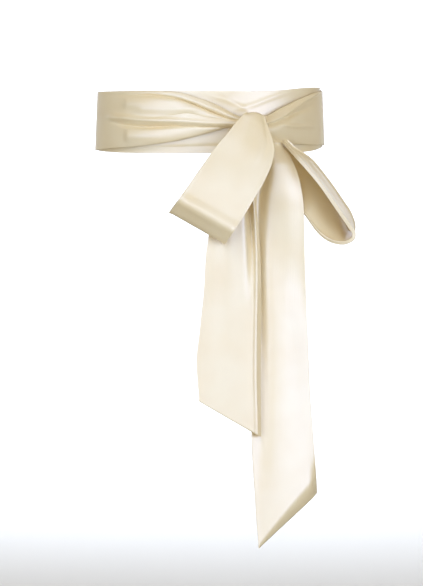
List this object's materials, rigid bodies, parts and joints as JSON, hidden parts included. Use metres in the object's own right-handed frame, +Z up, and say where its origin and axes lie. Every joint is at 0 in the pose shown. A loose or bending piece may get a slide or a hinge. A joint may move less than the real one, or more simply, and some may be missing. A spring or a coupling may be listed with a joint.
{
  "type": "satin sash tied in a bow round the waist",
  "caption": "Long flat satin sash wound twice round a waist and tied at the front right in a bow, with two loops and two slant-cut tails.",
  "frame": {"origin": "centre of the waist ring that the sash is wound round, at the middle of the band's height", "axes": "+Z up along the body, -Y towards the front where the bow lies, +X to the right as seen from the front"},
  "size_m": [0.3108, 0.2827, 0.5301],
  "materials": {
    "champagne_satin": "pale champagne double-layer satin with broad soft highlights"
  },
  "bodies": {
    "root": {"inner_wrap": "champagne_satin", "left_wrap": "champagne_satin", "right_wrap": "champagne_satin", "knot": "champagne_satin", "left_loop": "champagne_satin", "right_loop": "champagne_satin", "left_tail": "champagne_satin", "right_tail": "champagne_satin"}
  },
  "joints": []
}
